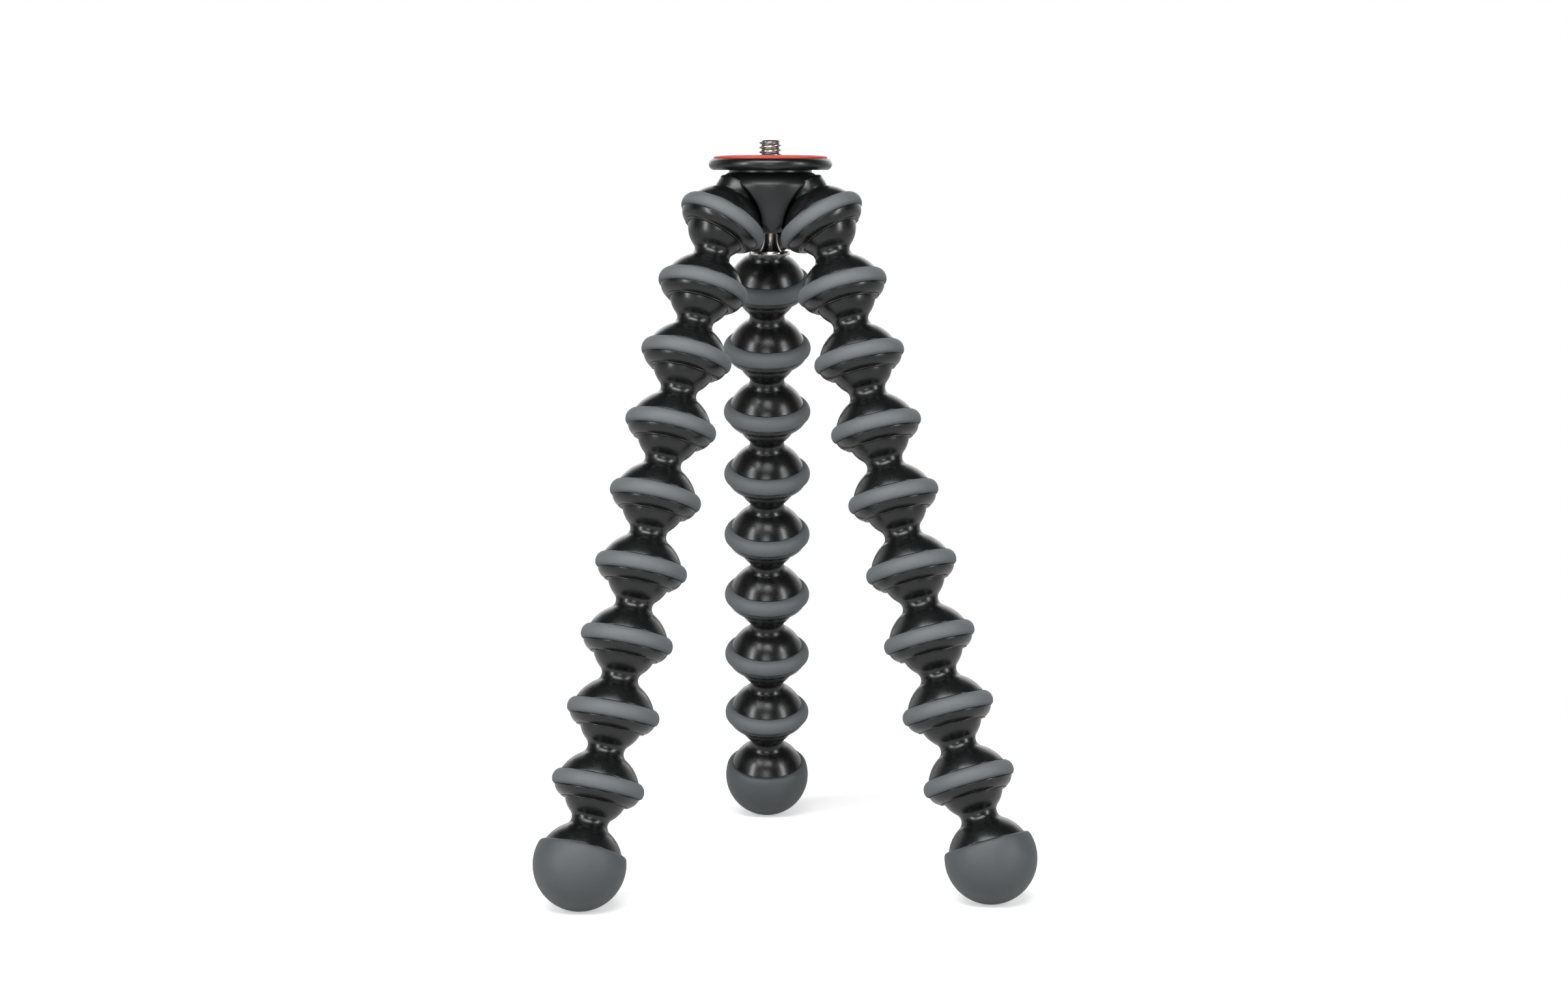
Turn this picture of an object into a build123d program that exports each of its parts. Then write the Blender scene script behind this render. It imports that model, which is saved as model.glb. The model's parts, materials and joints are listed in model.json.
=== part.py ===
# Flexible leg tripod: a hub with a camera screw on three legs of ball jointed links.
# The origin is the middle of the camera pad's top face, +Z is up, and lengths are in millimetres.
# The legs stand as photographed, two towards the viewer and one behind, on their three round feet.
from build123d import *
import math
import os

# Ball joint, the same at the hub arms and all down the legs
ball_radius = 8.6
ball_clearance = 0.08
link_pitch = 19.75
neck_fillet_radius = 2.3
core_radius = 3.2
core_depth = 9.0

# Socket that closes a link or a hub arm: walls from the ball's hollow outwards, heights from the ball's centre
liner_wall = 0.52
skirt_lip_wall = 0.2
groove_wall = 1.22
groove_depth = 1.5
skirt_step = 0.1
skirt_draw = 0.75
skirt_belly_depth = 1.4
skirt_depth = 2.5
ring_centre_height = 2.25

# Grip ring in the groove of a socket
ring_bulge = 1.0
ring_proud = 0.4
ring_belly_drop = 0.15
ring_height = 4.3
ring_edge_round = 0.5
ring_bore_clearance = 0.1
ring_side_clearance = 0.05

# Liner in the mouth of a socket
liner_top_depth = 0.3
liner_lip = 0.25
liner_lip_round = 0.15

# Foot
foot_cap_step = 1.05
foot_cap_wall = 1.8
foot_rim_height = 4.4
foot_rim_round = 0.9

# Camera pad and mounting disc
pad_thickness = 0.95
pad_flat_radius = 9.0
pad_crown = 0.4
pad_crown_share = 0.25
pad_edge_round = 0.3
pad_hole_radius = 4.2
disc_radius = 17.05
disc_thickness = 3.15
disc_rim_share = 0.43
disc_neck_radius = 11.45
disc_neck_height = 0.65
spigot_radius = 8.0
spigot_depth = 2.0

# Hub casing
shoulder_radius = 14.75
shoulder_drop = 3.4
shoulder_belly_radius = 13.5
shoulder_belly_drop = 1.55
flank_belly_radius = 13.3
flank_belly_drop = 6.4
tip_radius = 9.4
body_height = 16.65
casing_ledge = 0.1
arm_gap = 5.3
arm_drop = 19.6
arm_lean_angle = 34.0
arm_moat_inset = 0.9
arm_moat_height = 3.3
arm_cut_radius = 20.0
arm_cut_gap = 1.05
arm_root_radius = 6.5
arm_root_length = 16.0
ridge_round = 0.7

# Camera screw, captive in the hub
thread_radius = 3.12
thread_pitch = 1.27
thread_depth = 0.75
thread_land = 0.2
thread_height = 4.1
thread_chamfer = 0.5
thread_run_out = 0.7
thread_bore_clearance = 0.1
shank_radius = 1.75
shank_clearance = 0.08
collar_radius = 4.6
collar_thickness = 1.3
collar_play = 0.1
washer_radius = 5.0
washer_thickness = 0.6
pocket_radius = 5.3

# Turning flange on the screw's lower end
flange_radius = 5.45
flange_rim = 1.0
flange_rim_round = 0.3
flange_flare_radius = 3.3
flange_flare_height = 4.6
flange_flare_belly_share = 0.3
flange_dome = 1.3
flange_dome_edge = 0.6
flange_dome_bulge_share = 0.75
flange_bottom_drop = 9.2
slot_width = 1.2
slot_depth = 0.9

# How the legs stand: azimuths and leans in degrees, a lean being the angle from straight down
leg_names = ["left", "right", "rear"]
arm_azimuths = [210.0, 330.0, 90.0]
leg_azimuths = [228.0, 314.5, 87.0]
foot_azimuths = [233.0, 314.5, 87.0]
link_lean_angles = [
    [23.0, 21.0, 19.5, 19.0, 17.5, 17.5, 16.5, 18.5],
    [21.0, 18.0, 18.0, 18.5, 19.0, 19.0, 19.5, 22.0],
    [21.5, 19.5, 19.0, 19.5, 20.5, 19.5, 19.0, 18.5],
]
foot_lean_angles = [23.0, 21.0, 19.5]

# Levels and fits worked out from the sizes above
cut_overrun = 5.0
socket_radius = ball_radius + ball_clearance
liner_radius = socket_radius + liner_wall
skirt_lip_radius = liner_radius + skirt_lip_wall
groove_radius = socket_radius + groove_wall
dome_radius = groove_radius + groove_depth
skirt_radius = dome_radius + skirt_step
skirt_belly_radius = skirt_radius - skirt_draw
ring_radius = skirt_radius + ring_bulge
foot_cap_radius = dome_radius + foot_cap_step
arm_radius = dome_radius + arm_gap
arm_moat_radius = dome_radius - arm_moat_inset
groove_height = ring_height + 2 * ring_side_clearance
groove_top = ring_centre_height + groove_height / 2
groove_bottom = ring_centre_height - groove_height / 2
ring_bore_radius = groove_radius + ring_bore_clearance
arm_cut_height = groove_top + arm_cut_gap
disc_top = -pad_thickness
pad_radius = disc_radius - disc_thickness * disc_rim_share
disc_bottom = disc_top - disc_thickness
casing_top = disc_bottom - disc_neck_height
spigot_bottom = casing_top - spigot_depth
body_bottom = casing_top - body_height
thread_bore_radius = thread_radius + thread_bore_clearance
shank_bore_radius = shank_radius + shank_clearance
collar_top = spigot_bottom - collar_play
collar_bottom = collar_top - collar_thickness
pocket_floor = collar_bottom - washer_thickness
flange_rim_bottom = -arm_drop - flange_bottom_drop + flange_dome
flange_rim_top = flange_rim_bottom + flange_rim
flange_neck_top = flange_rim_top + flange_flare_height
shank_bottom = flange_rim_bottom + flange_rim / 2


def sphere_radius_at(radius, height):
    """Radius of the circle that a plane at the given height cuts from a sphere."""
    return math.sqrt(radius ** 2 - height ** 2)


def neck_fillet_centre():
    """Centre of the arc that runs tangent from a link's ball to its dome, as (radius, depth)."""
    to_ball = ball_radius + neck_fillet_radius
    to_dome = dome_radius + neck_fillet_radius
    depth = (link_pitch ** 2 + to_ball ** 2 - to_dome ** 2) / (2 * link_pitch)
    return sphere_radius_at(to_ball, depth), depth


def turned(edges):
    """Solid of revolution round Z of a closed outline in the XZ plane."""
    return revolve(Plane.XZ * make_face(edges), Axis.Z)


def ball_and_neck_edges():
    """Outline from a link's core hole, over the ball and down the neck to the dome."""
    fillet_radius_from_axis, fillet_depth = neck_fillet_centre()
    on_ball = ball_radius / (ball_radius + neck_fillet_radius)
    on_dome = dome_radius / (dome_radius + neck_fillet_radius)
    crown = (core_radius, sphere_radius_at(ball_radius, core_radius))
    ball_end = (fillet_radius_from_axis * on_ball, -fillet_depth * on_ball)
    waist = (fillet_radius_from_axis - neck_fillet_radius, -fillet_depth)
    dome_start = (fillet_radius_from_axis * on_dome, -link_pitch + (link_pitch - fillet_depth) * on_dome)
    core_floor = sphere_radius_at(ball_radius, core_radius) - core_depth
    return [
        Line((0, core_floor), (core_radius, core_floor)),
        Line((core_radius, core_floor), crown),
        ThreePointArc(crown, (ball_radius, 0), ball_end),
        ThreePointArc(ball_end, waist, dome_start),
    ], dome_start


def on_dome(start, end, centre_height):
    """Arc of the dome between two of its points, given the height of its centre."""
    angles = [math.atan2(point[1] - centre_height, point[0]) for point in (start, end)]
    middle = sum(angles) / 2
    return ThreePointArc(start, (dome_radius * math.cos(middle), centre_height + dome_radius * math.sin(middle)), end)


def socket_edges(centre_height):
    """Outline of a socket below its dome: groove, skirt, liner seat and the hollow for the ball."""
    dome_edge = (sphere_radius_at(dome_radius, groove_top), centre_height + groove_top)
    groove_in = (groove_radius, centre_height + groove_top)
    groove_out = (groove_radius, centre_height + groove_bottom)
    skirt_top = (skirt_radius, centre_height + groove_bottom)
    skirt_belly = (skirt_belly_radius, centre_height - skirt_belly_depth)
    skirt_end = (skirt_lip_radius, centre_height - skirt_depth)
    bore_mouth = (liner_radius, centre_height - skirt_depth)
    bore_step = (liner_radius, centre_height - liner_top_depth)
    hollow_start = (sphere_radius_at(socket_radius, liner_top_depth), centre_height - liner_top_depth)
    hollow_middle = (socket_radius * math.cos(math.pi / 4), centre_height + socket_radius * math.sin(math.pi / 4))
    hollow_top = (0, centre_height + socket_radius)
    return [
        Line(dome_edge, groove_in),
        Line(groove_in, groove_out),
        Line(groove_out, skirt_top),
        ThreePointArc(skirt_top, skirt_belly, skirt_end),
        Line(skirt_end, bore_mouth),
        Line(bore_mouth, bore_step),
        Line(bore_step, hollow_start),
        ThreePointArc(hollow_start, hollow_middle, hollow_top),
    ], dome_edge, hollow_top


def make_link():
    """One link: ball at the origin, neck, and a dome with its socket one pitch below."""
    upper, dome_start = ball_and_neck_edges()
    lower, dome_edge, hollow_top = socket_edges(-link_pitch)
    core_floor = sphere_radius_at(ball_radius, core_radius) - core_depth
    axis_line = Line(hollow_top, (0, core_floor))
    return turned(upper + [on_dome(dome_start, dome_edge, -link_pitch)] + lower + [axis_line])


def make_foot_link():
    """The last link of a leg: ball at the origin, neck, dome, and a round core for the foot cap."""
    upper, dome_start = ball_and_neck_edges()
    core = foot_cap_radius - foot_cap_wall
    core_floor = sphere_radius_at(ball_radius, core_radius) - core_depth
    dome_edge = (sphere_radius_at(dome_radius, foot_rim_height), foot_rim_height - link_pitch)
    step = (sphere_radius_at(core, foot_rim_height), foot_rim_height - link_pitch)
    bottom = (0, -link_pitch - core)
    edges = upper + [
        on_dome(dome_start, dome_edge, -link_pitch),
        Line(dome_edge, step),
        ThreePointArc(step, (core, -link_pitch), bottom),
        Line(bottom, (0, core_floor)),
    ]
    return turned(edges)


def make_foot_cap():
    """Rubber cap over the foot link's core, centred on the origin."""
    core = foot_cap_radius - foot_cap_wall
    rim_out = (sphere_radius_at(foot_cap_radius, foot_rim_height), foot_rim_height)
    rim_in = (sphere_radius_at(core, foot_rim_height), foot_rim_height)
    cap = turned([
        Line(rim_in, rim_out),
        ThreePointArc(rim_out, (foot_cap_radius, 0), (0, -foot_cap_radius)),
        Line((0, -foot_cap_radius), (0, -core)),
        ThreePointArc((0, -core), (core, 0), rim_in),
    ])
    rim_edge = cap.edges().filter_by(GeomType.CIRCLE).group_by(Axis.Z)[-1].sort_by(SortBy.RADIUS)[-1]
    return fillet(rim_edge, foot_rim_round)


def make_grip_ring():
    """Rubber ring in a socket's groove, with rounded edges that stand proud of the dome and the skirt."""
    top = ring_centre_height + ring_height / 2
    bottom = ring_centre_height - ring_height / 2
    top_out = (sphere_radius_at(dome_radius, groove_top) + ring_proud, top)
    belly = (ring_radius, ring_centre_height - ring_belly_drop)
    bottom_out = (skirt_radius + ring_proud, bottom)
    ring = turned([
        Line((ring_bore_radius, top), top_out),
        ThreePointArc(top_out, belly, bottom_out),
        Line(bottom_out, (ring_bore_radius, bottom)),
        Line((ring_bore_radius, bottom), (ring_bore_radius, top)),
    ])
    outer_edges = ring.edges().filter_by(GeomType.CIRCLE).sort_by(SortBy.RADIUS)[-2:]
    return fillet(outer_edges, ring_edge_round)


def make_liner():
    """Snap collar in a socket's mouth, which closes in below the ball's middle."""
    lip_depth = skirt_depth + liner_lip
    top_in = (sphere_radius_at(socket_radius, liner_top_depth), -liner_top_depth)
    lip_in = (sphere_radius_at(socket_radius, lip_depth), -lip_depth)
    middle_depth = (liner_top_depth + lip_depth) / 2
    middle = (sphere_radius_at(socket_radius, middle_depth), -middle_depth)
    lip_out = (liner_radius - liner_lip_round, -lip_depth)
    return turned([
        ThreePointArc(top_in, middle, lip_in),
        Line(lip_in, lip_out),
        Line(lip_out, (liner_radius, -lip_depth + liner_lip_round)),
        Line((liner_radius, -lip_depth + liner_lip_round), (liner_radius, -liner_top_depth)),
        Line((liner_radius, -liner_top_depth), top_in),
    ])


def make_arm_socket():
    """Socket of a hub arm: a full dome over the ball, with groove, skirt and hollow."""
    lower, dome_edge, hollow_top = socket_edges(0)
    crown = (0, dome_radius)
    return turned([on_dome(crown, dome_edge, 0)] + lower + [Line(hollow_top, crown)])


def heading(azimuth, lean):
    """Unit vector that leans away from straight down towards an azimuth."""
    out = math.sin(math.radians(lean))
    along = math.radians(azimuth)
    return Vector(out * math.cos(along), out * math.sin(along), -math.cos(math.radians(lean)))


def seat(centre, down):
    """Plane at a ball's centre whose Z points back up the leg."""
    across = Vector(0, 0, 1).cross(down)
    return Plane(origin=centre, x_dir=across, z_dir=down * -1)


def arm_seat(index):
    """Plane of a hub arm's socket."""
    along = math.radians(arm_azimuths[index])
    centre = Vector(arm_radius * math.cos(along), arm_radius * math.sin(along), -arm_drop)
    return seat(centre, heading(arm_azimuths[index], arm_lean_angle))


def leg_seats(index):
    """Planes of a leg's links at their balls' centres, from the hub down to the foot link."""
    azimuths = [leg_azimuths[index]] * len(link_lean_angles[index]) + [foot_azimuths[index]]
    leans = link_lean_angles[index] + [foot_lean_angles[index]]
    centre = arm_seat(index).origin
    seats = []
    for azimuth, lean in zip(azimuths, leans):
        down = heading(azimuth, lean)
        seats.append(seat(centre, down))
        centre = centre + down * link_pitch
    return seats


def make_hub_body():
    """Round body of the hub between shoulder and tip, before the arms' cuts are made."""
    ledge = (disc_neck_radius + casing_ledge, casing_top)
    shoulder = (shoulder_radius, casing_top - shoulder_drop)
    tip = (tip_radius, body_bottom)
    return turned([
        Line((0, casing_top), ledge),
        ThreePointArc(ledge, (shoulder_belly_radius, casing_top - shoulder_belly_drop), shoulder),
        ThreePointArc(shoulder, (flank_belly_radius, casing_top - shoulder_drop - flank_belly_drop), tip),
        Line(tip, (0, body_bottom)),
        Line((0, body_bottom), (0, casing_top)),
    ])


def make_arm_cut():
    """Room round an arm's dome, ring and skirt: all that lies below a plane across the arm."""
    depth = arm_cut_height + arm_cut_radius + cut_overrun
    return Pos(0, 0, arm_cut_height) * Cylinder(arm_cut_radius, depth, align=(Align.CENTER, Align.CENTER, Align.MAX))


def make_hub_casing():
    """Casing: the body with a rounded moat round each arm's root, and the arms standing in them."""
    whole = make_hub_body()
    body = whole
    seats = [arm_seat(index) for index in range(len(leg_names))]
    for plane in seats:
        body -= plane * Pos(0, 0, arm_moat_height) * Sphere(arm_moat_radius)
    ridges = body.edges().filter_by(lambda edge: edge.geom_type not in (GeomType.CIRCLE, GeomType.LINE))
    body = fillet(ridges, ridge_round)
    for plane in seats:
        body -= plane * make_arm_cut()
    for plane in seats:
        root = plane * Cylinder(arm_root_radius, arm_root_length, align=(Align.CENTER, Align.CENTER, Align.MIN))
        hollow = plane * Sphere(socket_radius)
        body += (root & whole) - hollow
        body += plane * make_arm_socket()
    pocket_top = Pos(0, 0, casing_top)
    body -= pocket_top * Cylinder(spigot_radius, spigot_depth, align=(Align.CENTER, Align.CENTER, Align.MAX))
    pocket_depth = casing_top - pocket_floor
    body -= pocket_top * Cylinder(pocket_radius, pocket_depth, align=(Align.CENTER, Align.CENTER, Align.MAX))
    bore_depth = body_height + cut_overrun
    body -= pocket_top * Cylinder(shank_bore_radius, bore_depth, align=(Align.CENTER, Align.CENTER, Align.MAX))
    return body


def make_mounting_disc():
    """Disc that carries the pad, with its neck and the spigot that seats it in the casing."""
    return turned([
        Line((thread_bore_radius, disc_top), (pad_radius, disc_top)),
        ThreePointArc((pad_radius, disc_top), (disc_radius, (disc_top + disc_bottom) / 2), (pad_radius, disc_bottom)),
        Line((pad_radius, disc_bottom), (disc_neck_radius, disc_bottom)),
        Line((disc_neck_radius, disc_bottom), (disc_neck_radius, casing_top)),
        Line((disc_neck_radius, casing_top), (spigot_radius, casing_top)),
        Line((spigot_radius, casing_top), (spigot_radius, spigot_bottom)),
        Line((spigot_radius, spigot_bottom), (thread_bore_radius, spigot_bottom)),
        Line((thread_bore_radius, spigot_bottom), (thread_bore_radius, disc_top)),
    ])


def make_pad():
    """Thin rubber ring that the camera sits on, flat in the middle and falling away to its edge."""
    edge_radius = pad_radius - pad_edge_round
    middle_radius = (pad_flat_radius + edge_radius) / 2
    round_in = pad_edge_round * math.sin(math.pi / 4)
    round_down = pad_edge_round * (1 - math.cos(math.pi / 4))
    edge_end = (pad_radius, -pad_crown - pad_edge_round)
    return turned([
        Line((pad_hole_radius, -pad_thickness), (pad_hole_radius, 0)),
        Line((pad_hole_radius, 0), (pad_flat_radius, 0)),
        ThreePointArc((pad_flat_radius, 0), (middle_radius, -pad_crown * pad_crown_share), (edge_radius, -pad_crown)),
        ThreePointArc((edge_radius, -pad_crown), (edge_radius + round_in, -pad_crown - round_down), edge_end),
        Line(edge_end, (pad_radius, -pad_thickness)),
        Line((pad_radius, -pad_thickness), (pad_hole_radius, -pad_thickness)),
    ])


def make_stud():
    """Camera screw: thread, collar and shank, with a groove for each turn of the thread."""
    half = (thread_pitch - thread_land) / 2
    turns = math.ceil((thread_height - thread_chamfer) / thread_pitch)
    thread_end = thread_height - thread_chamfer - turns * thread_pitch - thread_run_out
    root_radius = thread_radius - thread_depth
    thread = Cylinder(thread_radius, thread_height - thread_end, align=(Align.CENTER, Align.CENTER, Align.MIN))
    thread = Pos(0, 0, thread_end) * thread
    thread = chamfer(thread.edges().filter_by(GeomType.CIRCLE).sort_by(Axis.Z)[-1], thread_chamfer)
    outside = thread_radius + thread_depth
    slope = half * (outside - root_radius) / thread_depth
    for turn in range(turns):
        level = thread_height - thread_chamfer - thread_land - half - turn * thread_pitch
        thread -= turned([
            Line((root_radius, level), (outside, level + slope)),
            Line((outside, level + slope), (outside, level - slope)),
            Line((outside, level - slope), (root_radius, level)),
        ])
    root = Cylinder(root_radius, thread_end - collar_top, align=(Align.CENTER, Align.CENTER, Align.MIN))
    collar = Cylinder(collar_radius, collar_thickness, align=(Align.CENTER, Align.CENTER, Align.MIN))
    shank = Cylinder(shank_radius, collar_bottom - shank_bottom, align=(Align.CENTER, Align.CENTER, Align.MIN))
    lower = Pos(0, 0, collar_bottom) * collar + Pos(0, 0, shank_bottom) * shank
    return thread + Pos(0, 0, collar_top) * root + lower


def make_washer():
    """Thrust washer below the screw's collar."""
    washer = Cylinder(washer_radius, washer_thickness, align=(Align.CENTER, Align.CENTER, Align.MIN))
    washer -= Cylinder(shank_bore_radius, washer_thickness, align=(Align.CENTER, Align.CENTER, Align.MIN))
    return Pos(0, 0, pocket_floor) * washer


def make_flange():
    """Flange riveted on the shank, flared above, domed below, with a coin slot."""
    rim_out = flange_radius - flange_rim_round
    neck_radius = shank_radius + flange_rim_round
    neck = (neck_radius, flange_neck_top)
    belly_radius = neck_radius + (flange_flare_radius - neck_radius) * flange_flare_belly_share
    belly = (belly_radius, flange_rim_top + flange_flare_height * flange_flare_belly_share)
    flare_end = (flange_flare_radius, flange_rim_top)
    dome_edge = flange_radius - flange_dome_edge
    flange = turned([
        Line((shank_radius, flange_neck_top), neck),
        ThreePointArc(neck, belly, flare_end),
        Line(flare_end, (rim_out, flange_rim_top)),
        Line((rim_out, flange_rim_top), (flange_radius, flange_rim_top - flange_rim_round)),
        Line((flange_radius, flange_rim_top - flange_rim_round), (flange_radius, flange_rim_bottom + flange_rim_round)),
        Line((flange_radius, flange_rim_bottom + flange_rim_round), (dome_edge, flange_rim_bottom)),
        ThreePointArc(
            (dome_edge, flange_rim_bottom),
            (dome_edge / 2, flange_rim_bottom - flange_dome * flange_dome_bulge_share),
            (0, flange_rim_bottom - flange_dome),
        ),
        Line((0, flange_rim_bottom - flange_dome), (0, shank_bottom)),
        Line((0, shank_bottom), (shank_radius, shank_bottom)),
        Line((shank_radius, shank_bottom), (shank_radius, flange_neck_top)),
    ])
    slot = Box(2 * flange_radius, slot_width, slot_depth, align=(Align.CENTER, Align.CENTER, Align.MIN))
    return flange - Pos(0, 0, flange_rim_bottom - flange_dome) * slot


def write(name, *solids):
    """Write one node, as one solid or as a group of separate ones."""
    shape = solids[0] if len(solids) == 1 else Compound(children=list(solids))
    export_step(shape, os.path.join("parts", name + ".step"))


def write_hub():
    """Casing with its disc and liners, pad, and the captive screw."""
    liner = make_liner()
    liners = [arm_seat(index) * liner for index in range(len(leg_names))]
    write("hub_casing", make_hub_casing(), make_mounting_disc(), *liners)
    write("camera_pad", make_pad())
    write("camera_screw", make_stud(), make_washer(), make_flange())


def write_legs():
    """Links, liners, grip rings and feet of the three legs."""
    link = make_link()
    foot_link = make_foot_link()
    foot_cap = make_foot_cap()
    grip_ring = make_grip_ring()
    liner = make_liner()
    below = Pos(0, 0, -link_pitch)
    for index, leg in enumerate(leg_names):
        seats = leg_seats(index)
        write(f"{leg}_grip_ring_1", arm_seat(index) * grip_ring)
        for number, plane in enumerate(seats[:-1], start=1):
            write(f"{leg}_link_{number}", plane * link, plane * below * liner)
            write(f"{leg}_grip_ring_{number + 1}", plane * below * grip_ring)
        write(f"{leg}_foot_link", seats[-1] * foot_link)
        write(f"{leg}_foot_cap", seats[-1] * below * foot_cap)


os.makedirs("parts", exist_ok=True)
write_hub()
write_legs()
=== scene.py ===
"""Looks of the flexible leg tripod, laid out as an add-on that builds its shown pieces on the fixed frame."""
import json
import math
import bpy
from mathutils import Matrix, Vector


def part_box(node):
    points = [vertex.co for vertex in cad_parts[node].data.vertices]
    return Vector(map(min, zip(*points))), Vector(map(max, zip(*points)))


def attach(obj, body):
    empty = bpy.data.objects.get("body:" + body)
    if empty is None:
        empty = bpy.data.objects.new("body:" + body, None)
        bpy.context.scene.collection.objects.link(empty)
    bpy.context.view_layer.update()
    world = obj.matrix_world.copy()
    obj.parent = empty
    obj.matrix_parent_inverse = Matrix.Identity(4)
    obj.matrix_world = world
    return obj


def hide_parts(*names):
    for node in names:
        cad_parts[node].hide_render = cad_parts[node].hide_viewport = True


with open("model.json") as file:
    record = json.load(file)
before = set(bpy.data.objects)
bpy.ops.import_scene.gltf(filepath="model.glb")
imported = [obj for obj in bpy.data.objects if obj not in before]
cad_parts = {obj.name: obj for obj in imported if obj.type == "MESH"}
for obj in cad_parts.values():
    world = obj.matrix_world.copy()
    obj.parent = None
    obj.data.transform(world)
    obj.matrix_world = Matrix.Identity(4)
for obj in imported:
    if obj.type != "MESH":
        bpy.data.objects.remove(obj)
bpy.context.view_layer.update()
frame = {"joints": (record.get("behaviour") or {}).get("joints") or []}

from types import SimpleNamespace

import bmesh
import bpy
from mathutils import Matrix, Vector

bl_info = {
    "name": "Flexible leg tripod",
    "version": (1, 0, 0),
    "blender": (4, 2, 0),
    "location": "3D View > Sidebar > Tripod",
    "description": "Builds the shown pieces, finishes and stage of a flexible leg tripod",
    "category": "Add Mesh",
}

MM = 0.001
LEGS = ("left", "right", "rear")
LINKS = 8
NUBS = 4
MERGE_GAP = 0.0005

# Azimuth and lean from straight down, in degrees, of the feet and of the hub's arms.
FOOT_HEADINGS = {"left": (233.0, 23.0), "right": (314.5, 21.0), "rear": (87.0, 19.5)}
ARM_HEADINGS = {"left": (210.0, 34.0), "right": (330.0, 34.0), "rear": (90.0, 34.0)}

# Turn in degrees from one link to the next, so that their parting lines never match.
GOLDEN_TURN = 137.5

# Place in metres, with pitch and turn in degrees, of the photograph's camera.
CAMERA_PLACE = (-0.0509, -0.9174, -0.00474)
CAMERA_PITCH = 84.46
CAMERA_TURN = -3.41

# Name, place, width and height in metres, and power in watts, of each soft box.
LAMPS = (
    ("left_box", (-0.86, -0.62, 0.14), 0.2, 0.9, 9.0),
    ("right_box", (0.84, -0.64, 0.14), 0.2, 0.9, 8.0),
    ("top_box", (-0.14, -0.62, 0.66), 0.85, 0.5, 12.0),
    ("front_box", (-0.14, -1.2, 0.04), 0.4, 0.4, 3.2),
    ("back_box", (0.1, 0.95, 0.35), 1.2, 0.7, 3.0),
)
LAMP_TARGET = (0, 0, -0.09)
FLOOR_RADIUS = 3.0


def length(name, millimetres, description):
    """A length property, given in millimetres and kept in metres."""
    return bpy.props.FloatProperty(
        name=name, description=description, default=millimetres * MM, unit="LENGTH", precision=5, min=0.0
    )


def share(name, value, description):
    """A plain number property from 0 to 1."""
    return bpy.props.FloatProperty(name=name, description=description, default=value, min=0.0, max=1.0)


def paint_colour(name, value, description):
    """A linear colour property."""
    return bpy.props.FloatVectorProperty(
        name=name, description=description, default=value, subtype="COLOR", size=3, min=0.0, max=1.0
    )


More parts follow.
